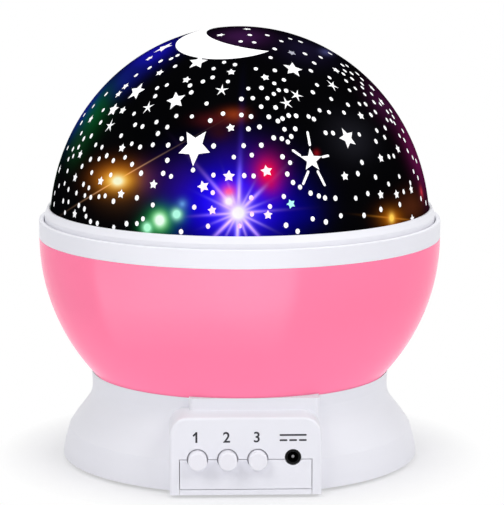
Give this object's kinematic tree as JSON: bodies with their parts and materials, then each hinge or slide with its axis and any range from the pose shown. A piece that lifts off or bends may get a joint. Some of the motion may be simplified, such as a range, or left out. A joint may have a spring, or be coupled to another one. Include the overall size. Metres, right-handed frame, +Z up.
{
  "type": "star night light projector",
  "caption": "Ball-shaped night light on a flared base: pink bowl, white rim and black lift-off star dome that turn on a column, with push buttons in front.",
  "frame": {"origin": "on the floor, under the middle of the base, where the feet rest", "axes": "+Z up along the axis that the globe turns about; -Y towards the side with the buttons"},
  "size_m": [0.12, 0.12, 0.1292],
  "materials": {
    "white_plastic": "satin",
    "pink_plastic": "satin",
    "dome_black": "gloss",
    "button_white": "satin",
    "rubber": "matte",
    "screw_steel": "satin",
    "spring_steel": "satin",
    "cell_wrap": "satin",
    "circuit_board": "satin",
    "black_plastic": "satin",
    "plated_pin": "polished",
    "acetal": "satin",
    "inner_white": "matte",
    "led_warm_white": "gloss",
    "led_red": "gloss",
    "led_green": "gloss",
    "led_blue": "gloss",
    "cable_grey": "matte"
  },
  "bodies": {
    "base": {"base_shell": "white_plastic", "bottom_cover": "white_plastic", "button_insert": "white_plastic", "rubber_feet": "rubber", "case_screws": "screw_steel", "board_screws": "screw_steel", "motor_screws": "screw_steel", "column_screws": "screw_steel", "battery_contacts": "spring_steel", "retaining_clip": "spring_steel", "motor_can": "spring_steel", "battery_cells": "cell_wrap", "control_board": "circuit_board", "led_board": "circuit_board", "switch_bodies": "black_plastic", "dc_jack": "black_plastic", "led_carrier": "black_plastic", "dc_pin": "plated_pin", "gearbox": "acetal", "thrust_washer": "acetal", "led_column": "inner_white", "reflector": "inner_white", "led_white": "led_warm_white", "led_red": "led_red", "led_green": "led_green", "led_blue": "led_blue", "led_cable": "cable_grey"},
    "globe": {"bowl": "pink_plastic", "light_plate": "inner_white", "rim_collar": "white_plastic", "ring_gear": "acetal", "gear_screws": "screw_steel", "hub_bush": "acetal"},
    "drive": {"motor_shaft": "spring_steel", "drive_pinion": "acetal"},
    "dome": {"star_dome": "dome_black", "dome_ring": "white_plastic"},
    "door": {"battery_door": "white_plastic", "door_screw": "screw_steel"},
    "push_1": {"button_1": "button_white", "plunger_1": "acetal"},
    "push_2": {"button_2": "button_white", "plunger_2": "acetal"},
    "push_3": {"button_3": "button_white", "plunger_3": "acetal"}
  },
  "joints": [
    {"name": "globe_spin", "type": "hinge", "parent": "base", "child": "globe", "pos_m": [0, 0, 0.0669], "axis": [0, 0, 1], "continuous": true},
    {"name": "pinion_spin", "type": "hinge", "parent": "base", "child": "drive", "pos_m": [0, 0.0336, 0.02], "axis": [0, 0, 1], "continuous": true},
    {"name": "dome_lift", "type": "slide", "parent": "globe", "child": "dome", "axis": [0, 0, 1], "range_m": [0, 0.04]},
    {"name": "battery_door_off", "type": "slide", "parent": "base", "child": "door", "axis": [0, 0, -1], "range_m": [0, 0.015]},
    {"name": "button_1_press", "type": "slide", "parent": "base", "child": "push_1", "axis": [0, 1, 0], "range_m": [0, 0.0015], "stiffness_N_per_m": 400, "springref_m": -0.001},
    {"name": "button_2_press", "type": "slide", "parent": "base", "child": "push_2", "axis": [0, 1, 0], "range_m": [0, 0.0015], "stiffness_N_per_m": 400, "springref_m": -0.001},
    {"name": "button_3_press", "type": "slide", "parent": "base", "child": "push_3", "axis": [0, 1, 0], "range_m": [0, 0.0015], "stiffness_N_per_m": 400, "springref_m": -0.001}
  ],
  "couplings": [
    {"joint": "pinion_spin", "follows": "globe_spin", "ratio": -5}
  ]
}
